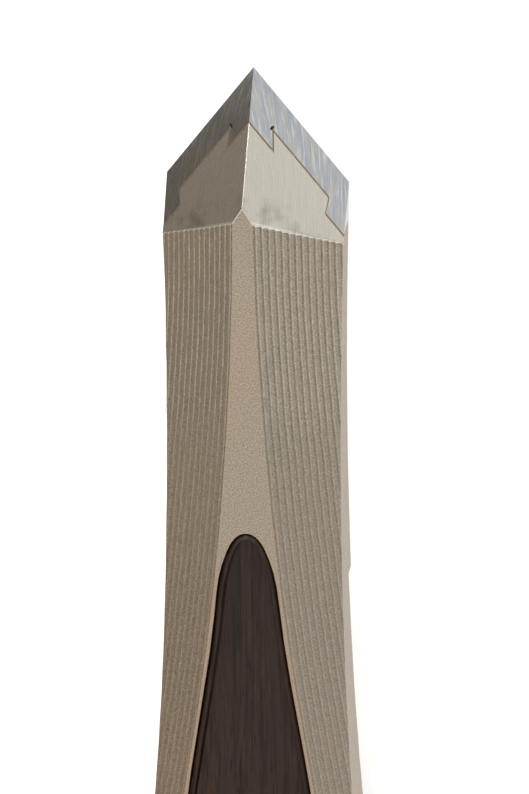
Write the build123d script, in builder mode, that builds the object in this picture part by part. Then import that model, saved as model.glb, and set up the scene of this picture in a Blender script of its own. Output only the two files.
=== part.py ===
"""V parting tool: a tool-steel V cutter brazed into a printed metal frame with wood handle scales.

Millimetres. +Y points to the cutting tip, +Z to the keel side, and Z = 0 is the flat back of the handle.
Along the tool, places are given as a distance behind the tip, and heights are above the shank's back.
"""
from build123d import *
import os

# Overall
LENGTH = 145.0               # tip to butt
SHANK_LIFT = 4.0             # the shank's back stands this far above the handle's flat back
KEEL_HEIGHT = 7.0            # keel flat of the shank
HANDLE_KEEL_HEIGHT = 9.6     # keel flat of the handle
KEEL_RISE = (53.0, 86.0)     # the keel climbs to the handle between these distances
BACK_DROP = (38.0, 86.0)     # the back falls to the handle's flat between these
BUTT_CORNER = 4.0            # corner radius of the butt, seen from above

# Cross sections, from ahead of the tip to past the butt. The back is square to the walls over the shank.
# Distance, half width, half keel flat, keel chamfer's edge height, half back flat, back chamfer's edge height
SECTIONS = (
    (-2.0, 6.28, 0.62, 2.54, None, None),
    (6.0, 6.02, 0.63, 2.54, None, None),
    (12.0, 5.86, 0.70, 2.54, None, None),
    (24.0, 5.72, 1.24, 3.22, None, None),
    (37.0, 5.90, 2.40, 4.12, 4.72, 1.16),
    (51.0, 6.56, 4.37, 5.17, 4.95, 1.25),
    (70.0, 8.30, 5.80, 6.20, 5.80, 0.30),
    (88.0, 9.70, 6.90, 7.20, 6.90, -1.60),
    (LENGTH - 37.0, 10.10, 7.20, 7.10, 7.20, -1.50),
    (LENGTH - 17.0, 9.70, 6.90, 7.20, 6.90, -1.60),
    (LENGTH + 2.0, 8.60, 6.10, 7.40, 6.10, -1.80),
)
PLAN_SIDE = [(distance, half) for distance, half, *_ in SECTIONS]
KEEL_CHAMFER = [(distance, half, flat, edge) for distance, half, flat, edge, *_ in SECTIONS]
BACK_CHAMFER = [(row[0], row[1], row[4], row[5]) for row in SECTIONS if row[4]]

# Cutting end
CHANNEL_DEPTH = 1.3          # V channel in the shank's back, at its middle
CHANNEL_HALF = 6.0           # where the V channel's sides meet the shank's back
CHANNEL_RAMP = (26.0, 36.0)  # the channel's floor runs out between these
BEVEL_SWEEP = 1.71           # how far each bevel runs back for every millimetre out
BEVEL_RAKE = 1.265           # and for every millimetre up
# Cutter joint, keyed into the frame by a zigzag parallel to the cutting edge
BAND_RUN = 1.82              # band behind the cutting edge, along the tool
LOBE_RUN = 2.78              # the same at the middle lobe and the two wing lobes
MIDDLE_LOBE = (1.32, 1.44)   # half width of the middle lobe, at its neck and at its back
WING_LOBE = (4.89, 4.76)     # where each wing lobe starts, at its neck and at its back
JOINT_ROUND = 0.30           # corner radius where each wing lobe starts
RELIEF_RADIUS = 0.11         # relief hole at each side of the middle lobe's neck
SEAM = 0.07                  # braze between cutter and frame

# Handle scales
SCALE_MARGIN = 0.34          # metal left between a scale's pocket and the chamfer
SCALE_GAP = 0.12             # round the scale in its pocket
LINER = 0.4                  # fibre liner under each scale
KEEL_FLOOR = 4.5             # floor of the keel side pocket
BACK_FLOOR = 1.3             # floor of the back pocket
KEEL_NOSE = 31.2             # front end of each scale
BACK_NOSE = 54.0
NOSE_LENGTH = 3.1            # the nose is round over this length
NOSE_HALF = 1.30             # half width of the keel side nose, halfway along it
BACK_NOSE_HALF = 3.4
SCALE_END = LENGTH - 6.0
SCALE_END_CORNER = 3.0

# Fasteners
BOLTS_AT = (92.0, LENGTH - 15.0)
HEAD_RADIUS = 3.5
HEAD_THICK = 1.5
BARREL_RADIUS = 2.5          # the nut's barrel and the bolt's shoulder
THREAD_RADIUS = 1.5
SHOULDER_END = 1.2
BARREL_END = 1.5
THREAD_END = 7.2
BOLT_GAP = 0.10              # round heads and barrels in their holes
SLOT_WIDTH = 0.8             # driver slot
SLOT_DEPTH = 0.6
DOWELS_AT = (64.0, 111.0)
DOWEL_RADIUS = 1.25
DOWEL_GAP = 0.02
DOWEL_BITE = 1.3             # how far a dowel goes into each scale

FAR = 40.0                   # well outside the tool, for cutting shapes
TIP = LENGTH / 2


def y_at(distance):
    """Y of a place this far behind the tip."""
    return TIP - distance


def z_at(height):
    """Z of a place this high above the shank's back."""
    return height + SHANK_LIFT


def level(height):
    """Plane parallel to the keel, at this height."""
    return Plane.XY.offset(z_at(height))


def station(distance):
    """Plane across the tool, with its x along +X and its y along +Z."""
    return Plane(origin=(0, y_at(distance), 0), x_dir=(1, 0, 0), z_dir=(0, -1, 0))


def blend(distance, span, before, after):
    """Smooth step from one height to another across a span, as the side profile's curves make it."""
    t = min(max((distance - span[0]) / (span[1] - span[0]), 0), 1)
    return before + (after - before) * t * t * (3 - 2 * t)


def keel_height(distance):
    return blend(distance, KEEL_RISE, KEEL_HEIGHT, HANDLE_KEEL_HEIGHT)


def back_height(distance):
    return blend(distance, BACK_DROP, 0, -SHANK_LIFT)


def step_curve(span, before, after):
    """Four control points of that smooth step, in the side view's Y and Z."""
    third = (span[1] - span[0]) / 3
    return (
        (y_at(span[0]), z_at(before)),
        (y_at(span[0] + third), z_at(before)),
        (y_at(span[1] - third), z_at(after)),
        (y_at(span[1]), z_at(after)),
    )


def corner_triangle(inner, outer):
    """Triangle outside the line from a flat's edge to a side wall's edge, running past both."""
    a, b = Vector(*inner), Vector(*outer)
    along = (b - a).normalized()
    out = Vector(abs(along.Y), along.X if inner[1] > outer[1] else -along.X)
    past, reach = 3, 8
    return a - along * past, b + along * past, (a + b) / 2 + out * reach


def scale_outline(sections, nose, nose_half, grow):
    """Outline of a scale seen from above, or of its pocket where it is grown by the gap."""
    front = [(0, y_at(nose - grow)), (nose_half + grow, y_at(nose + NOSE_LENGTH / 2))]
    behind = [row for row in sections if row[0] >= nose + NOSE_LENGTH]
    flat = [(row[2] - SCALE_MARGIN + grow, y_at(row[0])) for row in behind]
    with BuildSketch(mode=Mode.PRIVATE) as outline:
        with BuildLine():
            side = Spline(*front, *flat, tangents=((1, 0), (0, -1)), tangent_scalars=(1, 1))
            mirror(side, about=Plane.YZ)
            Line(side @ 1, (-(side @ 1).X, (side @ 1).Y))
        make_face()
        with Locations((0, y_at(SCALE_END + grow))):
            Rectangle(FAR, LENGTH, align=(Align.CENTER, Align.MIN), mode=Mode.INTERSECT)
        fillet(outline.vertices().group_by(Axis.Y)[0], SCALE_END_CORNER)
    return outline.sketch


def straight_hole(radius, distances, low, high):
    """Cylinders of this radius across the tool, between two heights, at each distance."""
    with BuildPart(mode=Mode.PRIVATE) as drill:
        with Locations(*[(0, y_at(distance), z_at(low)) for distance in distances]):
            Cylinder(radius, high - low, align=(Align.CENTER, Align.CENTER, Align.MIN))
    return drill.part


# ---------------------------------------------------------------- blank
with BuildPart() as blank:
    with BuildSketch(Plane.YZ):
        with BuildLine():
            keel = Bezier(*step_curve(KEEL_RISE, KEEL_HEIGHT, HANDLE_KEEL_HEIGHT))
            back = Bezier(*step_curve(BACK_DROP, 0, -SHANK_LIFT))
            Polyline(keel @ 0, (y_at(0), z_at(KEEL_HEIGHT)), (y_at(0), z_at(0)), back @ 0)
            Polyline(keel @ 1, (y_at(LENGTH), z_at(HANDLE_KEEL_HEIGHT)), (y_at(LENGTH), 0), back @ 1)
        make_face()
    extrude(amount=FAR, both=True)
    with BuildSketch(Plane.XY) as blank_plan:
        with BuildLine():
            edge = [(half, y_at(distance)) for distance, half in PLAN_SIDE]
            Spline(*edge)
            Spline(*[(-x, y) for x, y in edge])
            Line(edge[0], (-edge[0][0], edge[0][1]))
            Line(edge[-1], (-edge[-1][0], edge[-1][1]))
        make_face()
        Rectangle(FAR, LENGTH, mode=Mode.INTERSECT)
        fillet(blank_plan.vertices().group_by(Axis.Y)[0], BUTT_CORNER)
    extrude(amount=FAR, both=True, mode=Mode.INTERSECT)

    # The four ribbed chamfers
    for sections, height in ((KEEL_CHAMFER, keel_height), (BACK_CHAMFER, back_height)):
        with BuildPart(mode=Mode.PRIVATE) as chamfer:
            for distance, half, flat, edge_height in sections:
                inner = (flat, z_at(height(distance)))
                with BuildSketch(station(distance)):
                    Polygon(*corner_triangle(inner, (half, z_at(edge_height))), align=None)
            loft()
        add(chamfer.part, mode=Mode.SUBTRACT)
        add(mirror(chamfer.part, about=Plane.YZ), mode=Mode.SUBTRACT)

    # The V channel, which runs out up a ramp
    with BuildPart(mode=Mode.PRIVATE) as channel:
        with BuildSketch(station(-1)):
            slope = CHANNEL_DEPTH / CHANNEL_HALF
            low = z_at(CHANNEL_DEPTH - slope * FAR)
            Polygon((0, z_at(CHANNEL_DEPTH)), (FAR, low), (-FAR, low), align=None)
        extrude(amount=CHANNEL_RAMP[1] + 1)
        ramp_run = CHANNEL_RAMP[1] - CHANNEL_RAMP[0]
        ramp = Plane(
            origin=(0, y_at(CHANNEL_RAMP[1]), z_at(0)), x_dir=(1, 0, 0), z_dir=(0, -CHANNEL_DEPTH, ramp_run)
        )
        split(bisect_by=ramp, keep=Keep.BOTTOM)
    add(channel.part, mode=Mode.SUBTRACT)

    # The two ground bevels, which meet on the ridge and leave the cutting edges
    for side in (1, -1):
        bevel = Plane(
            origin=(0, y_at(0), z_at(CHANNEL_DEPTH)), z_dir=(side * BEVEL_SWEEP, 1, BEVEL_RAKE)
        )
        split(bisect_by=bevel, keep=Keep.BOTTOM)


# ---------------------------------------------------------------- cutter joint
EDGE_SLOPE = BEVEL_SWEEP - BEVEL_RAKE * CHANNEL_DEPTH / CHANNEL_HALF    # cutting edges, from above


def joint_sketch(grow):
    """Everything ahead of the joint, seen from above: the cutter fills it, or cutter and braze if grown."""
    neck, lobe = MIDDLE_LOBE
    wing_neck, wing = WING_LOBE
    wing_start = (wing_neck, y_at(EDGE_SLOPE * wing_neck + BAND_RUN))
    right = [
        (lobe, y_at(EDGE_SLOPE * lobe + LOBE_RUN)),
        (neck, y_at(EDGE_SLOPE * neck + BAND_RUN)),
        wing_start,
        (wing, y_at(EDGE_SLOPE * wing + LOBE_RUN)),
        (FAR / 2, y_at(EDGE_SLOPE * FAR / 2 + LOBE_RUN)),
        (FAR / 2, y_at(-FAR)),
    ]
    left = [(-x, y) for x, y in reversed(right)]
    with BuildSketch(mode=Mode.PRIVATE) as ahead:
        Polygon((0, y_at(LOBE_RUN)), *right, *left, align=None)
        near = (Vector(side * wing_start[0], wing_start[1]) for side in (1, -1))
        fillet([ahead.vertices().sort_by_distance(point)[0] for point in near], JOINT_ROUND)
        if grow:
            offset(amount=grow, kind=Kind.INTERSECTION)
    return ahead.sketch


with BuildPart() as relief_holes:
    neck_run = EDGE_SLOPE * MIDDLE_LOBE[0] + BAND_RUN
    with Locations(*[(side * MIDDLE_LOBE[0], y_at(neck_run)) for side in (1, -1)]):
        Cylinder(RELIEF_RADIUS, FAR)

with BuildPart() as cutter:
    add(blank.part)
    with BuildSketch():
        add(joint_sketch(0))
    extrude(amount=FAR, mode=Mode.INTERSECT)
    add(relief_holes.part, mode=Mode.SUBTRACT)

with BuildPart() as braze_seam:
    add(blank.part)
    with BuildSketch():
        add(joint_sketch(SEAM))
        add(joint_sketch(0), mode=Mode.SUBTRACT)
    extrude(amount=FAR, mode=Mode.INTERSECT)
    add(relief_holes.part, mode=Mode.SUBTRACT)

# ---------------------------------------------------------------- handle scales, liners and pockets
SCALES = (
    ("keel", KEEL_CHAMFER, KEEL_NOSE, NOSE_HALF, KEEL_FLOOR, 1),
    ("back", BACK_CHAMFER, BACK_NOSE, BACK_NOSE_HALF, BACK_FLOOR, -1),
)
scales, liners, pockets = {}, {}, {}
for name, sections, nose, nose_half, floor, up in SCALES:
    outline = scale_outline(sections, nose, nose_half, 0)
    pocket_outline = scale_outline(sections, nose, nose_half, SCALE_GAP)
    seat = floor + up * LINER
    with BuildPart(mode=Mode.PRIVATE) as liners[name]:
        with BuildSketch(level(floor)):
            add(outline)
        extrude(amount=up * LINER)
    with BuildPart(mode=Mode.PRIVATE) as scales[name]:
        with BuildSketch(level(seat)):
            add(outline)
        extrude(amount=up * FAR)
        add(blank.part, mode=Mode.INTERSECT)
    with BuildPart(mode=Mode.PRIVATE) as pockets[name]:
        with BuildSketch(level(floor)):
            add(pocket_outline)
        extrude(amount=up * FAR)

# ---------------------------------------------------------------- fasteners
KEEL_HEAD = (HANDLE_KEEL_HEIGHT - HEAD_THICK, HANDLE_KEEL_HEIGHT)
BACK_HEAD = (-SHANK_LIFT, -SHANK_LIFT + HEAD_THICK)
DOWEL_SPAN = (BACK_FLOOR - LINER - DOWEL_BITE, KEEL_FLOOR + LINER + DOWEL_BITE)

with BuildPart() as scale_bolts:
    add(straight_hole(HEAD_RADIUS, BOLTS_AT, *BACK_HEAD))
    add(straight_hole(BARREL_RADIUS, BOLTS_AT, BACK_HEAD[1], SHOULDER_END))
    add(straight_hole(THREAD_RADIUS, BOLTS_AT, SHOULDER_END, THREAD_END))
    with Locations(*[(0, y_at(distance), z_at(BACK_HEAD[0])) for distance in BOLTS_AT]):
        Box(FAR, SLOT_WIDTH, SLOT_DEPTH * 2, mode=Mode.SUBTRACT)

with BuildPart() as barrel_nuts:
    add(straight_hole(HEAD_RADIUS, BOLTS_AT, *KEEL_HEAD))
    add(straight_hole(BARREL_RADIUS, BOLTS_AT, BARREL_END, KEEL_HEAD[0]))
    add(straight_hole(THREAD_RADIUS, BOLTS_AT, BARREL_END, THREAD_END), mode=Mode.SUBTRACT)
    with Locations(*[(0, y_at(distance), z_at(KEEL_HEAD[1])) for distance in BOLTS_AT]):
        Box(FAR, SLOT_WIDTH, SLOT_DEPTH * 2, mode=Mode.SUBTRACT)

with BuildPart() as dowels:
    add(straight_hole(DOWEL_RADIUS, DOWELS_AT, *DOWEL_SPAN))

with BuildPart() as bores:
    add(straight_hole(BARREL_RADIUS + BOLT_GAP, BOLTS_AT, -FAR, FAR))
    add(straight_hole(HEAD_RADIUS + BOLT_GAP, BOLTS_AT, KEEL_HEAD[0], FAR))
    add(straight_hole(HEAD_RADIUS + BOLT_GAP, BOLTS_AT, -FAR, BACK_HEAD[1]))
    add(straight_hole(DOWEL_RADIUS + DOWEL_GAP, DOWELS_AT, *DOWEL_SPAN))

# ---------------------------------------------------------------- pieces
with BuildPart() as frame:
    add(blank.part)
    with BuildSketch():
        add(joint_sketch(SEAM))
    extrude(amount=FAR, mode=Mode.SUBTRACT)
    add(relief_holes.part, mode=Mode.SUBTRACT)
    for name in pockets:
        add(pockets[name].part, mode=Mode.SUBTRACT)
    add(bores.part, mode=Mode.SUBTRACT)

with BuildPart() as keel_scale:
    add(scales["keel"].part)
    add(bores.part, mode=Mode.SUBTRACT)

with BuildPart() as back_scale:
    add(scales["back"].part)
    add(bores.part, mode=Mode.SUBTRACT)

with BuildPart() as keel_liner:
    add(liners["keel"].part)
    add(bores.part, mode=Mode.SUBTRACT)

with BuildPart() as back_liner:
    add(liners["back"].part)
    add(bores.part, mode=Mode.SUBTRACT)

PIECES = {
    "frame": frame,
    "cutter": cutter,
    "braze_seam": braze_seam,
    "keel_scale": keel_scale,
    "back_scale": back_scale,
    "keel_liner": keel_liner,
    "back_liner": back_liner,
    "scale_bolts": scale_bolts,
    "barrel_nuts": barrel_nuts,
    "dowels": dowels,
}
os.makedirs("parts", exist_ok=True)
for name, piece in PIECES.items():
    piece.part.label = name
    export_step(piece.part, f"parts/{name}.step")
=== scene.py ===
"""Looks of the V parting tool: ribbed printed metal, ground bevels and dark wood scales.

Lengths are metres in the frame's own axes: +Y to the cutting tip, +Z to the keel side.
"""
import math

import bmesh
import bpy
from mathutils import Matrix, Vector, noise


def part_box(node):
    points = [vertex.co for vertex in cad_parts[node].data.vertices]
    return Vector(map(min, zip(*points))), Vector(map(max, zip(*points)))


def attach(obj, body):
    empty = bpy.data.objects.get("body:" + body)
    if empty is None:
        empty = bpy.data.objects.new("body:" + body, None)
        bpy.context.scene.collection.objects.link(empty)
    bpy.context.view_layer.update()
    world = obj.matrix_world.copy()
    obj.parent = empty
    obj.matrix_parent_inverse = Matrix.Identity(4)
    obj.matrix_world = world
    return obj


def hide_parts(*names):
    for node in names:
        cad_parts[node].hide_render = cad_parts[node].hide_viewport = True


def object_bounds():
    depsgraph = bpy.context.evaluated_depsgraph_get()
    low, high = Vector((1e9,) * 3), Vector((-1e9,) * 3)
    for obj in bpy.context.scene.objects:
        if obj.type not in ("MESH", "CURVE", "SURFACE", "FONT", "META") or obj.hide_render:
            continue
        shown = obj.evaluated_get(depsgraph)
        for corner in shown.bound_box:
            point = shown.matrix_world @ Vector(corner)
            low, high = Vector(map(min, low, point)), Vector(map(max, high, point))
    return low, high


bl_info = {
    "name": "V Parting Tool",
    "version": (1, 0, 0),
    "blender": (4, 5, 0),
    "location": "View3D > Sidebar > Parting Tool",
    "description": "Builds the surfaces of a V parting tool round its packed model",
    "category": "Object",
}

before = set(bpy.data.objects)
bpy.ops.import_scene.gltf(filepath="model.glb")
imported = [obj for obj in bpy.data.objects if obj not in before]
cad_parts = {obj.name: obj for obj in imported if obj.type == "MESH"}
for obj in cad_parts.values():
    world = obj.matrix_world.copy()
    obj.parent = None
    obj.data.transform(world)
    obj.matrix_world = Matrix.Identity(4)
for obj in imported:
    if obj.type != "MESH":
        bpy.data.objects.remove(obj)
CAD_LOW, CAD_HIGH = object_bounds()
MM = 0.001
ROOT = "root"

# Places that the pieces and the materials share
SHANK_BACK = 4.0 * MM            # height of the shank's back
TIP_Y = CAD_HIGH.y
BEVEL_SWEEP = 1.71               # the ground bevels run back this far for each unit out
BEVEL_RAKE = 1.265               # and for each unit up
BEVEL_START = SHANK_BACK + 1.3 * MM
KEEL_SHANK = SHANK_BACK + 7.0 * MM
BOLTS_LOW, BOLTS_HIGH = (Vector(corner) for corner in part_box("scale_bolts"))

# Shape of one printed layer, as shares of its height
LAYER_FACE = 0.42                # the middle of its face
LAYER_CREST = 0.84               # the crest, past which it drops back to the next layer
NEAR = 0.02 * MM                 # closer than this to a plane counts as on it
SMOOTH_ANGLE = math.radians(30)

# Unit directions of the grinding scratches on the right-hand bevel, across them and along them
SCRATCH_ACROSS = (0.603, -0.021, -0.798)
SCRATCH_ALONG = (0.328, -0.905, 0.272)


# ---------------------------------------------------------------- sizes and colours a user may change
def length(name, text, default):
    return bpy.props.FloatProperty(name=name, description=text, default=default, unit="LENGTH", precision=5)


def angle(name, text, degrees):
    return bpy.props.FloatProperty(
        name=name, description=text, default=math.radians(degrees), subtype="ANGLE"
    )


def colour(name, text, default):
    return bpy.props.FloatVectorProperty(
        name=name, description=text, default=default, size=3, subtype="COLOR", min=0, max=1
    )


class PrintedMetalSettings(bpy.types.PropertyGroup):
    layer: length("Layer", "Height of one printed layer", 0.33 * MM)
    rib: length("Rib", "How far a layer's edge stands out", 0.045 * MM)
    wall_rib: length("Wall rib", "How far it stands out on the square side walls", 0.012 * MM)
    arris: length("Arris", "Width of the worn strip along the long edges", 0.06 * MM)
    burr: length("Burr", "How far the ground edge is rolled outwards", 0.022 * MM)
    wander: length("Wander", "How far a layer's edge wanders", 0.018 * MM)
    slice_length: length("Slice", "Spacing of the points along a rib", 1.0 * MM)
    body: colour("Body", "Sintered metal", (0.47, 0.395, 0.30))
    edge: colour("Edge", "Coppery tint of the layer edges", (0.62, 0.40, 0.25))
    # Dark pores, and also the painted shade in the valleys between layers
    pore_and_valley_shade: colour("Pit", "Dark pores and valleys", (0.13, 0.105, 0.080))
    ground: colour("Ground", "Ground infiltrated metal", (0.50, 0.47, 0.405))
    # Painted light: lightens the left-hand ribs towards the tip
    pale: colour("Pale", "Bloom on the left-hand ribs towards the tip", (0.58, 0.50, 0.39))
    # Painted shade: a greyer, darker cast on the right-hand ribs
    grey: colour("Grey", "Greyer cast of the right-hand ribs", (0.270, 0.243, 0.198))
    # Painted highlight: bright speckles on the layer crests
    crest: colour("Crest", "Rubbed crests of the layer edges", (0.72, 0.64, 0.52))
    grain: colour("Grain", "Bright grains of the sintered powder", (0.76, 0.68, 0.56))
    wall: colour("Wall", "Hatching on the square side walls", (0.24, 0.215, 0.18))
    # Painted highlight along the heel of the ground bevels
    heel: colour("Heel", "Bright lower edge of the ground bevels", (0.80, 0.77, 0.70))
    # The burr is real; its near-white colour is a painted highlight along it
    rolled: colour("Rolled edge", "Burr behind the ground bevels", (0.88, 0.84, 0.76))


class CutterSettings(bpy.types.PropertyGroup):
    steel: colour("Steel", "Ground tool steel", (0.39, 0.39, 0.375))
    blue: colour("Blue steel", "Cooler streaks left by the belt", (0.30, 0.33, 0.385))
    braze: colour("Braze", "Darkened braze line", (0.15, 0.11, 0.07))


class ScaleSettings(bpy.types.PropertyGroup):
    round_over: length("Round-over", "Radius of the rounded upper edge", 0.45 * MM)
    dark: colour("Dark grain", "Darkest bands of the wood", (0.013, 0.008, 0.006))
    mid: colour("Grain", "Main colour of the wood", (0.036, 0.0205, 0.0135))
    # Reddish grain bands, also used for a painted reddish highlight on the left side towards the handle
    red: colour("Red grain", "Reddish bands", (0.060, 0.018, 0.008))


class HardwareSettings(bpy.types.PropertyGroup):
    edge_break: length("Edge break", "Width of the turned edge break", 0.15 * MM)
    steel: colour("Steel", "Turned fasteners", (0.42, 0.40, 0.37))
    # Black liners; their black edge also stands in for the shadow in the gap round the scales, a painted
    # shadow
    liner: colour("Liner", "Black fibre liners", (0.006, 0.006, 0.006))


class StageSettings(bpy.types.PropertyGroup):
    floor: colour("Floor", "Plain floor", (0.95, 0.95, 0.95))
    turn: angle("Turn", "Camera turned about the tool's length", 8.58)
    lean: angle("Lean", "Camera leaned from overhead to the tip", 28.66)
    roll: angle("Roll", "Camera rolled about its view", -0.69)
    distance: length("Distance", "Camera to the point it looks at", 500 * MM)
    lens: bpy.props.FloatProperty(name="Lens", description="Camera lens in millimetres", default=349.2)


SETTINGS = {
    "printed_metal": PrintedMetalSettings,
    "cutter_steel": CutterSettings,
    "scales": ScaleSettings,
    "hardware": HardwareSettings,
    "stage_look": StageSettings,
}


# ---------------------------------------------------------------- shader maths
class Val:
    """A shader socket, so that sums on values can be written as Python expressions."""

    def __init__(self, nodes, socket):
        self.nodes, self.socket = nodes, socket

    def math(self, kind, *others):
        return self.nodes.add("ShaderNodeMath", {"operation": kind}, dict(enumerate([self, *others])))

    def __add__(self, other):
        return self.math("ADD", other)

    def __sub__(self, other):
        return self.math("SUBTRACT", other)

    def __mul__(self, other):
        return self.math("MULTIPLY", other)

    def __rsub__(self, other):
        return (self * -1) + other

    __radd__ = __add__
    __rmul__ = __mul__

    def __abs__(self):
        return self.math("ABSOLUTE")

    def clip(self):
        return self.nodes.add("ShaderNodeClamp", {}, {"Value": self})

    def ramp(self, low, high):
        """0 below low and 1 above high, with a smooth step between; low may be the larger."""
        return self.nodes.add(
            "ShaderNodeMapRange",
            {"interpolation_type": "SMOOTHSTEP"},
            {"Value": self, "From Min": low, "From Max": high},
        )


class Nodes:
    """One material's node tree and the few ways that nodes are added to it."""

    def __init__(self, name, **constants):
        self.material = bpy.data.materials.new(name)
        self.material.use_nodes = True
        self.tree = self.material.node_tree
        self.shader = self.tree.nodes["Principled BSDF"]
        for key, value in constants.items():
            self.shader.inputs[key.replace("_", " ")].default_value = value

    def add(self, kind, settings=None, inputs=None, output=0):
        node = self.tree.nodes.new(kind)
        for key, value in (settings or {}).items():
            setattr(node, key, value)
        for key, value in (inputs or {}).items():
            self.feed(node.inputs[key], value)
        return Val(self, node.outputs[output])

    def feed(self, socket, value):
        if isinstance(value, Val):
            self.tree.links.new(value.socket, socket)
        elif socket.type == "RGBA":
            socket.default_value = (*value, 1)
        else:
            socket.default_value = value

    def place(self, scale=(1, 1, 1), turn=(0, 0, 0)):
        """Object coordinates in millimetres, stretched and turned."""
        point = self.add("ShaderNodeTexCoord", output="Object")
        return self.add(
            "ShaderNodeMapping",
            {},
            {"Vector": point, "Scale": [1 / MM * s for s in scale], "Rotation": turn},
        )

    def axes(self, vector):
        split = self.add("ShaderNodeSeparateXYZ", {}, {"Vector": vector}).socket.node
        return [Val(self, out) for out in split.outputs]

    def noise(self, vector, scale, detail=2.0, roughness=0.5):
        inputs = {"Vector": vector, "Scale": scale, "Detail": detail, "Roughness": roughness}
        return self.add("ShaderNodeTexNoise", {}, inputs)

    def mix(self, factor, one, two):
        """Colour that goes from one to two."""
        node = self.tree.nodes.new("ShaderNodeMix")
        node.data_type = "RGBA"
        sockets = [s for s in node.inputs if s.enabled]
        for socket, value in zip(sockets, (factor, one, two)):
            self.feed(socket, value)
        return Val(self, next(s for s in node.outputs if s.enabled))

    def bump(self, height, distance, strength=1.0):
        return self.add(
            "ShaderNodeBump", {}, {"Height": height, "Distance": distance, "Strength": strength}, "Normal"
        )

    def finish(self, **values):
        for key, value in values.items():
            self.feed(self.shader.inputs[key.replace("_", " ")], value)
        return self.material


# ---------------------------------------------------------------- materials
def grinding(nodes, scale):
    """Fine scratches left across each bevel by the grinding belt, mirrored about the ridge."""
    x, y, z = nodes.axes(nodes.place())
    y = y - TIP_Y / MM
    across, along = (
        abs(x) * way[0] + y * way[1] + z * way[2] for way in (SCRATCH_ACROSS, SCRATCH_ALONG)
    )
    side = x.math("SIGN") * 37
    bend = along * along * 0.018
    line = nodes.add("ShaderNodeCombineXYZ", {}, {"X": (across + bend) * scale, "Y": along * 0.42, "Z": side})
    return nodes.noise(line, 1.0, 4.0, 0.65)


def printed_metal(name, ribbed, worn=False):
    """Sintered and infiltrated metal, with layer edges where ribbed, and bare where it is ground."""
    look = bpy.context.scene.printed_metal
    nodes = Nodes(name, Metallic=0.85)
    sand = nodes.noise(nodes.place(), 10.0, 3.0, 0.75)
    cloud = nodes.noise(nodes.place((0.35, 0.12, 0.35)), 1.0, 3.0, 0.6)
    colour = nodes.mix(sand.ramp(0.34, 0.66), [c * 0.66 for c in look.body], [c * 1.38 for c in look.body])
    colour = nodes.mix(cloud.ramp(0.45, 0.75) * 0.25, colour, look.edge)
    rough = 0.46 + (sand - 0.5) * 0.25
    relief = sand * 0.7
    low = (TIP_Y / MM - nodes.axes(nodes.place())[1]).ramp(16.0, 44.0)
    if worn:
        colour = nodes.mix(0.25 + low * 0.5, colour, look.edge)
    if ribbed:
        colour, rough, relief = layer_edges(nodes, look, low, sand, colour, rough, relief)
    colour, rough, relief = ground_bevels(nodes, look, colour, rough, relief)
    return nodes.finish(Base_Color=colour, Roughness=rough, Normal=nodes.bump(relief, 0.045 * MM, 0.8))


def layer_edges(nodes, look, low, sand, colour, rough, relief):
    """Painted highlights on the layer crests and painted shade in their valleys, with the left-hand ribs
    painted lighter towards the tip and the right-hand ribs greyer; low is 1 towards the handle.
    """
    x, _, z = nodes.axes(nodes.place())
    phase = ((z - SHANK_BACK / MM) * (MM / look.layer) + 0.02).math("FRACT")
    beads = nodes.noise(nodes.place((2.0, 7.0, 2.0)), 1.0, 2.0, 0.7)
    crest = phase.ramp(0.64, 0.80) * phase.ramp(0.96, 0.86)
    valley = phase.ramp(0.16, 0.03) + phase.ramp(0.90, 0.97)
    lee = x.ramp(-0.5, 0.5)
    # Painted light: the left-hand ribs are lightened towards the tip
    colour = nodes.mix((1 - lee) * (1 - low) * 0.55, colour, look.pale)
    # Painted shade: greyer and darker on the right-hand ribs and towards the handle, and a little everywhere
    colour = nodes.mix(0.08 + lee * 0.45 + low * 0.15, colour, look.grey)
    # Painted shade in the valleys between layers, weaker on the right and towards the handle
    dark = (0.22 + beads.ramp(0.42, 0.60) * 0.42) * (1 - lee * 0.35) * (1 - low * 0.7)
    colour = nodes.mix(valley * dark, colour, look.pore_and_valley_shade)
    # Painted highlight on the layer crests, fading towards the handle
    light = (0.15 + beads.ramp(0.40, 0.7) * 0.45) * (1 - low * 0.6)
    colour = nodes.mix(crest * light, colour, look.crest)
    colour = nodes.mix(crest * low * (0.70 - lee * 0.35), colour, look.edge)
    colour = nodes.mix(sand.ramp(0.50, 0.36) * (0.36 - lee * 0.10), colour, look.pore_and_valley_shade)
    colour = nodes.mix(sand.ramp(0.54, 0.68) * (0.60 - lee * 0.25), colour, look.grain)
    wall = abs(nodes.axes(nodes.add("ShaderNodeNewGeometry", output="Normal"))[0]).ramp(0.86, 0.96)
    hatch = nodes.noise(nodes.place((4, 5, 9), (0.9, 0, 0)), 1.0, 2.0, 0.6)
    colour = nodes.mix(wall * (0.15 + hatch.ramp(0.42, 0.60) * 0.35), colour, look.wall)
    return colour, rough + valley * 0.2, relief + beads * crest * 0.5


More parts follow.
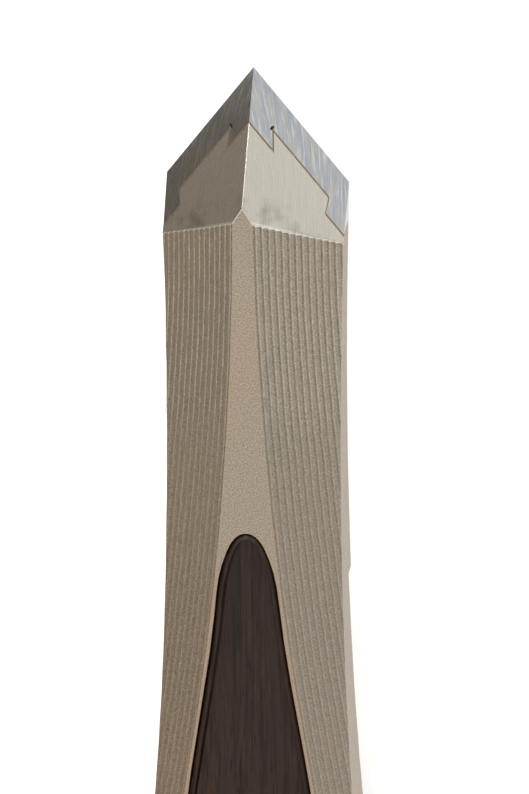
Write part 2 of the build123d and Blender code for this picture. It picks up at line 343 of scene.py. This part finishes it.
def ground_bevels(nodes, look, colour, rough, relief):
    """Lays the scratched bare bevels and the burr behind them over the printed surface."""
    x, y, z = nodes.axes(nodes.place())
    behind = (TIP_Y / MM - y) - abs(x) * BEVEL_SWEEP - (z - BEVEL_START / MM) * BEVEL_RAKE
    ground = behind.ramp(0.030, 0.015)
    burr = behind.ramp(0.17, 0.09) * (1 - ground)
    scratch = grinding(nodes, 9.0)
    patch = nodes.noise(nodes.place((0.5, 0.5, 0.5)), 1.0, 3.0, 0.6)
    heel = KEEL_SHANK / MM - 0.83 * (abs(x) - 0.63) - z
    shade = heel.ramp(1.5, 0.4) * patch.ramp(0.45, 0.70) * 0.55 + scratch.ramp(0.62, 0.40) * 0.16
    bare = nodes.mix(shade.clip(), look.ground, [c * 0.42 for c in look.ground])
    # Painted highlight along the heel line of the ground bevels
    bare = nodes.mix(heel.ramp(0.08, 0.0) * 0.6, bare, look.heel)
    # Real burr, coloured near-white as a painted highlight
    colour = nodes.mix(burr, colour, look.rolled)
    colour = nodes.mix(ground, colour, bare)
    rough = rough + (0.36 - rough) * burr
    rough = rough + ((0.22 + scratch * 0.10) - rough) * ground
    relief = relief * (1 - ground) * (1 - burr * 0.6) + scratch * 0.12 * ground
    return colour, rough, relief


def tool_steel():
    look = bpy.context.scene.cutter_steel
    nodes = Nodes("tool_steel", Metallic=1.0)
    scratch = grinding(nodes, 4.5)
    fine = grinding(nodes, 13.0)
    tint = grinding(nodes, 1.8)
    colour = nodes.mix(tint.ramp(0.42, 0.60) * 0.75, look.steel, look.blue)
    colour = nodes.mix(scratch.ramp(0.50, 0.66) * 0.60, colour, [min(1, c * 1.55) for c in look.steel])
    colour = nodes.mix(fine.ramp(0.50, 0.36) * 0.50, colour, [c * 0.55 for c in look.steel])
    rough = 0.17 + scratch * 0.10 + fine * 0.08
    return nodes.finish(
        Base_Color=colour, Roughness=rough, Normal=nodes.bump(scratch + fine * 0.5, 0.010 * MM, 0.6)
    )


def braze():
    look = bpy.context.scene.cutter_steel
    nodes = Nodes("braze", Metallic=0.5)
    blotch = nodes.noise(nodes.place(), 4.0, 3.0)
    colour = nodes.mix(blotch, look.braze, [c * 2 for c in look.braze])
    return nodes.finish(Base_Color=colour, Roughness=0.62 + blotch * 0.2)


def dark_wood():
    look = bpy.context.scene.scales
    nodes = Nodes("dark_wood", Specular_IOR_Level=0.20, Coat_Weight=0.15, Coat_Roughness=0.12)
    x, y, _ = nodes.axes(nodes.place())
    bands = nodes.noise(nodes.place((0.50, 0.010, 0.50)), 1.0, 2.0, 0.5)
    streak = nodes.noise(nodes.place((3.4, 0.07, 3.4)), 1.0, 4.0, 0.7)
    pores = nodes.noise(nodes.place((11.0, 0.40, 11.0)), 1.0, 2.0, 0.5)
    # Painted highlight: reddens the left side of the wood towards the handle
    side = x.ramp(-1.0, -6.0) * (TIP_Y / MM - y).ramp(34.0, 60.0)
    colour = nodes.mix((bands.ramp(0.50, 0.66) * 0.55 + side * 0.8).clip(), look.mid, look.red)
    colour = nodes.mix(streak.ramp(0.42, 0.66) * 0.85, colour, look.dark)
    colour = nodes.mix(pores.ramp(0.40, 0.28) * 0.35, colour, [c * 2.4 for c in look.mid])
    colour = nodes.mix(pores.ramp(0.60, 0.70) * 0.8, colour, [c * 0.5 for c in look.dark])
    rough = 0.36 + streak * 0.18
    height = pores.ramp(0.66, 0.56) * 0.6 + streak * 0.4
    return nodes.finish(Base_Color=colour, Roughness=rough, Normal=nodes.bump(height, 0.012 * MM, 0.6))


# Black liner material, whose edge also serves as the painted shadow in the gap round the scales
def fibre():
    look = bpy.context.scene.hardware
    nodes = Nodes("fibre")
    fuzz = nodes.noise(nodes.place(), 9.0, 3.0)
    colour = nodes.mix(fuzz, look.liner, [c * 2.5 for c in look.liner])
    bump = nodes.bump(fuzz, 0.03 * MM)
    return nodes.finish(Base_Color=colour, Roughness=0.85 + fuzz * 0.1, Normal=bump)


def turned_steel(name):
    look = bpy.context.scene.hardware
    nodes = Nodes(name, Metallic=1.0)
    scratch = nodes.noise(nodes.place((1.2, 14.0, 1.2)), 1.0, 3.0, 0.6)
    colour = nodes.mix(scratch, [c * 0.75 for c in look.steel], look.steel)
    bump = nodes.bump(scratch, 0.01 * MM)
    return nodes.finish(Base_Color=colour, Roughness=0.26 + scratch * 0.14, Normal=bump)


def give(obj, material):
    """The object's only material."""
    obj.data.materials.clear()
    obj.data.materials.append(material)


# ---------------------------------------------------------------- modelling helpers
def deselect():
    if bpy.context.mode != "OBJECT":
        bpy.ops.object.mode_set(mode="OBJECT")
    bpy.ops.object.select_all(action="DESELECT")


def activate(obj):
    deselect()
    obj.select_set(True)
    bpy.context.view_layer.objects.active = obj


def copy_of(node, name):
    """A merged copy of a CAD node's mesh, as a new piece."""
    deselect()
    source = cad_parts[node]
    piece = bpy.data.objects.new(name, source.data.copy())
    bpy.context.scene.collection.objects.link(piece)
    piece.data.name = name
    activate(piece)
    bpy.ops.object.mode_set(mode="EDIT")
    bpy.ops.mesh.select_all(action="SELECT")
    bpy.ops.mesh.remove_doubles(threshold=0.0005 * MM)
    bpy.ops.mesh.customdata_custom_splitnormals_clear()
    bpy.ops.object.mode_set(mode="OBJECT")
    return piece


def near_bolt(point):
    """True beside the two bolts, which stand at the ends of their node's box."""
    radius = (BOLTS_HIGH.x - BOLTS_LOW.x) / 2
    middles = (BOLTS_LOW.y + radius, BOLTS_HIGH.y - radius)
    return min(math.hypot(point.x, point.y - y) for y in middles) < radius * 1.2


def dissolve_flat(piece):
    """Clears the edges that cross flat faces."""
    activate(piece)
    bpy.ops.object.mode_set(mode="EDIT")
    bpy.ops.mesh.select_all(action="SELECT")
    bpy.ops.mesh.dissolve_limited(angle_limit=math.radians(0.05))
    bpy.ops.object.mode_set(mode="OBJECT")


def soften(piece, width):
    """Rounds the piece's square edges."""
    activate(piece)
    bpy.ops.object.mode_set(mode="EDIT")
    select_edges(piece, lambda e: len(e.link_faces) == 2 and e.calc_face_angle() > math.radians(60))
    bpy.ops.mesh.bevel(offset=width, offset_type="OFFSET", segments=2, profile=0.5, clamp_overlap=True)
    bpy.ops.object.mode_set(mode="OBJECT")
    bpy.ops.object.shade_smooth_by_angle(angle=SMOOTH_ANGLE)


def keep(piece, node):
    """The piece stands for its CAD node and rides on the only body."""
    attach(piece, ROOT)
    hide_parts(node)


# ---------------------------------------------------------------- operators
class PARTING_OT_frame(bpy.types.Operator):
    """Printed frame: the layer edges on every outer face are real ribs, cut through by the ground bevels"""

    bl_idname = "parting.frame"
    bl_label = "Printed frame"

    def execute(self, context):
        look = context.scene.printed_metal
        piece = copy_of("frame", "printed_frame")
        give(piece, printed_metal("printed_metal", False))
        piece.data.materials.append(printed_metal("ribbed_metal", True))
        piece.data.materials.append(printed_metal("worn_edge", False, worn=True))
        dissolve_flat(piece)
        bpy.ops.object.mode_set(mode="EDIT")
        select_faces(piece, is_outer)
        self.assign(piece, 1)
        select_faces(piece, lambda face: face.material_index == 0 and is_flat(face))
        self.assign(piece, 2)
        bpy.ops.mesh.inset(thickness=look.arris, use_even_offset=True)
        self.assign(piece, 0)
        select_edges(piece, is_ridge)
        bpy.ops.mesh.bevel(offset=look.arris * 0.3, offset_type="OFFSET", segments=1)
        self.cut_layers(piece, look)
        bpy.ops.object.mode_set(mode="OBJECT")
        self.raise_ribs(piece, look)
        bpy.ops.object.shade_smooth_by_angle(angle=SMOOTH_ANGLE)
        for face in piece.data.polygons:
            if face.material_index == 0 and abs(behind_bevel(face.center)) < NEAR:
                face.use_smooth = False
        keep(piece, "frame")
        return {"FINISHED"}

    def assign(self, piece, slot):
        """Gives the selected faces one of the piece's material slots."""
        piece.active_material_index = slot
        bpy.ops.object.material_slot_assign()

    def cut_layers(self, piece, look):
        """Cuts the outer faces across the tool, along each layer's edges, and beside the burr."""
        piece.active_material_index = 1
        steps = int((TIP_Y - CAD_LOW.y) / look.slice_length)
        for step in range(1, steps):
            cut_outer((0, TIP_Y - step * look.slice_length, 0), (0, 1, 0))
        first = math.ceil(-SHANK_BACK / look.layer)
        last = int((CAD_HIGH.z - SHANK_BACK) / look.layer)
        for number in range(first, last + 1):
            for part in (0.0, LAYER_FACE, LAYER_CREST):
                cut_outer((0, 0, SHANK_BACK + (number + part) * look.layer), (0, 0, 1))
        for side in (1, -1):
            for back in (0.05 * MM, 0.14 * MM):
                cut_outer((0, TIP_Y - back, BEVEL_START), bevel_normal(side))

    def raise_ribs(self, piece, look):
        """Each layer steps out to a crest at its upper edge and drops back sharply to the next."""
        mesh = bmesh.new()
        mesh.from_mesh(piece.data)
        moves = []
        for vert in mesh.verts:
            outer = [f for f in vert.link_faces if f.material_index == 1]
            if outer:
                whole = len(outer) == len(vert.link_faces)
                normal = sum((f.normal * f.calc_area() for f in outer), Vector()).normalized()
                moves.append((vert, rib_shift(vert.co, normal, whole, look)))
        for vert, shift in moves:
            vert.co += shift
        mesh.to_mesh(piece.data)
        mesh.free()


def rib_shift(point, normal, whole, look):
    """How far a point of a printed face moves; whole where only printed faces meet at it."""
    height = (point.z - SHANK_BACK) / look.layer
    part = max(0, height - math.floor(height + 0.01))
    rising, falling = part / LAYER_CREST - 0.5, 0.5 - (part - LAYER_CREST) / (1 - LAYER_CREST)
    wave = rising if part < LAYER_CREST else falling
    slant = min(1, abs(normal.z) / 0.35)
    spot = Vector((0, point.y / (1.3 * MM), round(height) * 5.3 + (9 if point.x > 0 else 0)))
    drift = noise.noise(spot) * look.wander * slant
    behind = behind_bevel(point)
    fade = 1 - 0.6 * min(1, max(0, behind / MM - 8) / 20)
    rise = (look.wall_rib + (look.rib - look.wall_rib) * slant) * fade
    rolled = look.burr * max(0, 1 - abs(behind / MM - 0.05) / 0.09)
    shift = normal * (wave * rise + drift + rolled)
    if behind < NEAR:
        bevel = bevel_normal(point.x)
        tilt = normal.dot(bevel)
        return (shift - bevel * shift.dot(bevel)) / (1 - tilt * tilt)
    return shift if whole else shift * 0.4


def bevel_normal(side):
    """The way that a ground bevel faces, on the side of x that the sign gives."""
    return Vector((math.copysign(BEVEL_SWEEP, side), 1, BEVEL_RAKE)).normalized()


def is_ridge(edge):
    """True on the ridge between the ground bevels."""
    ends = [vert.co for vert in edge.verts]
    return all(abs(end.x) < NEAR / 2 and abs(behind_bevel(end)) < NEAR for end in ends)


def is_flat(face):
    """True on the outer flats of the keel and the back, and not on the pocket floors."""
    middle = face.calc_center_median()
    keel = middle.z > KEEL_SHANK - 0.3 * MM
    back = middle.z < SHANK_BACK * 1.05 and face.normal.z < 0
    return abs(face.normal.z) > 0.95 and (keel or back)


def select_faces(piece, wanted):
    """Selects just the wanted faces of the piece that is in edit mode."""
    bpy.ops.mesh.select_all(action="DESELECT")
    for face in [f for f in bmesh.from_edit_mesh(piece.data).faces if wanted(f)]:
        face.select_set(True)
    bmesh.update_edit_mesh(piece.data)


def select_edges(piece, wanted):
    """Selects just the wanted edges of the piece that is in edit mode."""
    bpy.ops.mesh.select_all(action="DESELECT")
    for edge in [e for e in bmesh.from_edit_mesh(piece.data).edges if wanted(e)]:
        edge.select_set(True)
    bmesh.update_edit_mesh(piece.data)


def behind_bevel(point):
    """How far a point lies behind the ground bevels, along the tool."""
    return TIP_Y - point.y - abs(point.x) * BEVEL_SWEEP - (point.z - BEVEL_START) * BEVEL_RAKE


def cut_outer(point, normal):
    """Cuts the faces of the active material slot through, in edit mode."""
    bpy.ops.mesh.select_all(action="DESELECT")
    bpy.ops.object.material_slot_select()
    bpy.ops.mesh.bisect(plane_co=point, plane_no=normal, threshold=1e-7)


def is_outer(face):
    """True on the chamfers and side walls, which the printed layers reach, and not in the pockets."""
    normal, middle = face.normal, face.calc_center_median()
    outward = normal.x * middle.x > 0 and abs(normal.x) > 0.45
    return outward and behind_bevel(middle) > NEAR


class PARTING_OT_cutter(bpy.types.Operator):
    """Tool-steel cutter and the braze line that holds it"""

    bl_idname = "parting.cutter"
    bl_label = "Cutter"

    def execute(self, context):
        give(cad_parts["cutter"], tool_steel())
        give(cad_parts["braze_seam"], braze())
        return {"FINISHED"}


class PARTING_OT_scales(bpy.types.Operator):
    """Wood scales with rounded edges, and the liners under them"""

    bl_idname = "parting.scales"
    bl_label = "Wood scales"
    RINGS = 5

    def execute(self, context):
        look = context.scene.scales
        wood = dark_wood()
        for node, up in (("keel_scale", 1), ("back_scale", -1)):
            piece = copy_of(node, node + "_wood")
            give(piece, wood)
            self.round_over(piece, up, look.round_over)
            keep(piece, node)
        # Black liners, also standing in for the painted shadow in the gap round the scales
        liner = fibre()
        for node in ("keel_liner", "back_liner"):
            give(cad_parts[node], liner)
        return {"FINISHED"}

    def round_over(self, piece, up, radius):
        """Insets the outer face in rings and lowers each ring to a quarter round, but not at the bolts."""
        dissolve_flat(piece)
        bpy.ops.object.mode_set(mode="EDIT")
        select_faces(piece, lambda face: face.normal.z * up > 0.9)
        mesh = bmesh.from_edit_mesh(piece.data)
        rim = [v.index for v in mesh.verts if v.select and any(not f.select for f in v.link_faces)]
        drops = dict.fromkeys(rim, radius)
        count, last = len(mesh.verts), 0.0
        for step in range(1, self.RINGS + 1):
            angle = math.radians(90) * step / self.RINGS
            reach = radius * (1 - math.cos(angle))
            bpy.ops.mesh.inset(thickness=reach - last, use_even_offset=True)
            mesh = bmesh.from_edit_mesh(piece.data)
            ring = range(count, len(mesh.verts))
            drops.update(dict.fromkeys(ring, radius * (1 - math.sin(angle))))
            count, last = len(mesh.verts), reach
        mesh.verts.ensure_lookup_table()
        for index, drop in drops.items():
            vert = mesh.verts[index]
            if not near_bolt(vert.co):
                vert.co.z -= up * drop
        bmesh.update_edit_mesh(piece.data)
        bpy.ops.object.mode_set(mode="OBJECT")
        bpy.ops.object.shade_smooth_by_angle(angle=SMOOTH_ANGLE)


class PARTING_OT_hardware(bpy.types.Operator):
    """Scale bolts, barrel nuts and dowels"""

    bl_idname = "parting.hardware"
    bl_label = "Fasteners"

    def execute(self, context):
        look = context.scene.hardware
        for node in ("scale_bolts", "barrel_nuts"):
            piece = copy_of(node, node + "_turned")
            give(piece, turned_steel(node))
            dissolve_flat(piece)
            soften(piece, look.edge_break)
            keep(piece, node)
        give(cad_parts["dowels"], turned_steel("dowel_steel"))
        return {"FINISHED"}


class PARTING_OT_stage(bpy.types.Operator):
    """Floor, soft light and camera"""

    bl_idname = "parting.stage"
    bl_label = "Stage"

    def execute(self, context):
        look = context.scene.stage_look
        self.add_floor(look)
        self.add_world(context.scene)
        middle = (0, TIP_Y - 30 * MM, 8 * MM)
        self.add_panel("key", (0.60, 0.25, 0.50), middle, (0.5, 0.5), 0.6)
        self.add_panel("top", (-0.20, 0.25, 0.90), middle, (0.7, 0.7), 2.8)
        self.add_panel("front", (-0.12, 0.85, 0.62), middle, (0.22, 0.22), 2.2)
        self.add_flag()
        self.add_camera(context.scene, look)
        context.scene.view_settings.view_transform = "Standard"
        return {"FINISHED"}

    def add_floor(self, look):
        """A pale floor just below the tool, so that the two never share a plane."""
        deselect()
        bpy.ops.mesh.primitive_plane_add(size=12, location=(0, 0, CAD_LOW.z - 0.05 * MM))
        floor = bpy.context.object
        floor.name = "floor"
        nodes = Nodes("floor_white", Roughness=0.9, Emission_Color=(1, 1, 1, 1), Emission_Strength=0.55)
        give(floor, nodes.finish(Base_Color=tuple(look.floor)))

    def add_world(self, scene):
        scene.world = bpy.data.worlds.new("studio")
        scene.world.use_nodes = True
        background = scene.world.node_tree.nodes["Background"]
        background.inputs["Color"].default_value = (1, 1, 1, 1)
        background.inputs["Strength"].default_value = 0.55

    def add_panel(self, name, at, aim, size, power):
        """A soft light that the camera doesn't see."""
        data = bpy.data.lights.new(name, "AREA")
        data.shape = "RECTANGLE"
        data.size, data.size_y = size
        data.energy = power
        lamp = bpy.data.objects.new(name, data)
        bpy.context.scene.collection.objects.link(lamp)
        lamp.location = at
        lamp.rotation_euler = (Vector(aim) - Vector(at)).to_track_quat("-Z", "Y").to_euler()
        lamp.visible_camera = False

    def add_flag(self):
        """A dark card over the left-hand bevel, seen only in reflections."""
        deselect()
        bpy.ops.mesh.primitive_plane_add(size=1, location=(0, 0, 0))
        flag = bpy.context.object
        flag.name = "flag"
        bpy.ops.object.mode_set(mode="EDIT")
        bpy.ops.transform.resize(value=(0.34, 0.5, 1))
        bpy.ops.transform.rotate(value=math.radians(-40), orient_axis="Y", center_override=(0, 0, 0))
        bpy.ops.transform.translate(value=(-0.141, TIP_Y - 0.03, 0.11))
        bpy.ops.object.mode_set(mode="OBJECT")
        dark = Nodes("flag_grey", Roughness=1.0, Emission_Color=(0.23, 0.19, 0.145, 1), Emission_Strength=1.0)
        give(flag, dark.finish(Base_Color=(0.02, 0.02, 0.02)))
        flag.visible_camera = flag.visible_diffuse = flag.visible_shadow = False

    def add_camera(self, scene, look):
        """Turned about the tool's length, leaned towards the tip, then rolled about its own view."""
        turn, lean, roll = look.turn, look.lean, look.roll
        back = Vector((math.sin(turn) * math.cos(lean), math.sin(lean), math.cos(turn) * math.cos(lean)))
        level = Vector((math.cos(turn), 0, -math.sin(turn)))
        upright = back.cross(level)
        right = level * math.cos(roll) + upright * math.sin(roll)
        up = upright * math.cos(roll) - level * math.sin(roll)
        data = bpy.data.cameras.new("camera")
        data.lens, data.sensor_width, data.clip_end = look.lens, 36, 100
        camera = bpy.data.objects.new("camera", data)
        scene.collection.objects.link(camera)
        aim = Vector((0, TIP_Y - 22.5 * MM, 8 * MM)) + right * 0.841 * MM - up * 0.051 * MM
        camera.location = aim + back * look.distance
        camera.rotation_euler = Matrix((right, up, back)).transposed().to_euler()
        scene.camera = camera


class PARTING_PT_panel(bpy.types.Panel):
    """Lists the operators in the order in which they build the tool"""

    bl_label = "Parting Tool"
    bl_space_type = "VIEW_3D"
    bl_region_type = "UI"
    bl_category = "Parting Tool"

    def draw(self, context):
        for operator in OPERATORS:
            self.layout.operator(operator.bl_idname)


OPERATORS = (
    PARTING_OT_frame,
    PARTING_OT_cutter,
    PARTING_OT_scales,
    PARTING_OT_hardware,
    PARTING_OT_stage,
)


def register():
    for name, group in SETTINGS.items():
        bpy.utils.register_class(group)
        setattr(bpy.types.Scene, name, bpy.props.PointerProperty(type=group))
    for cls in (*OPERATORS, PARTING_PT_panel):
        bpy.utils.register_class(cls)


def unregister():
    for cls in (PARTING_PT_panel, *reversed(OPERATORS)):
        bpy.utils.unregister_class(cls)
    for name, group in SETTINGS.items():
        delattr(bpy.types.Scene, name)
        bpy.utils.unregister_class(group)


def main():
    register()
    for operator in OPERATORS:
        group, name = operator.bl_idname.split(".")
        getattr(getattr(bpy.ops, group), name)()


if __name__ == "__main__":
    main()
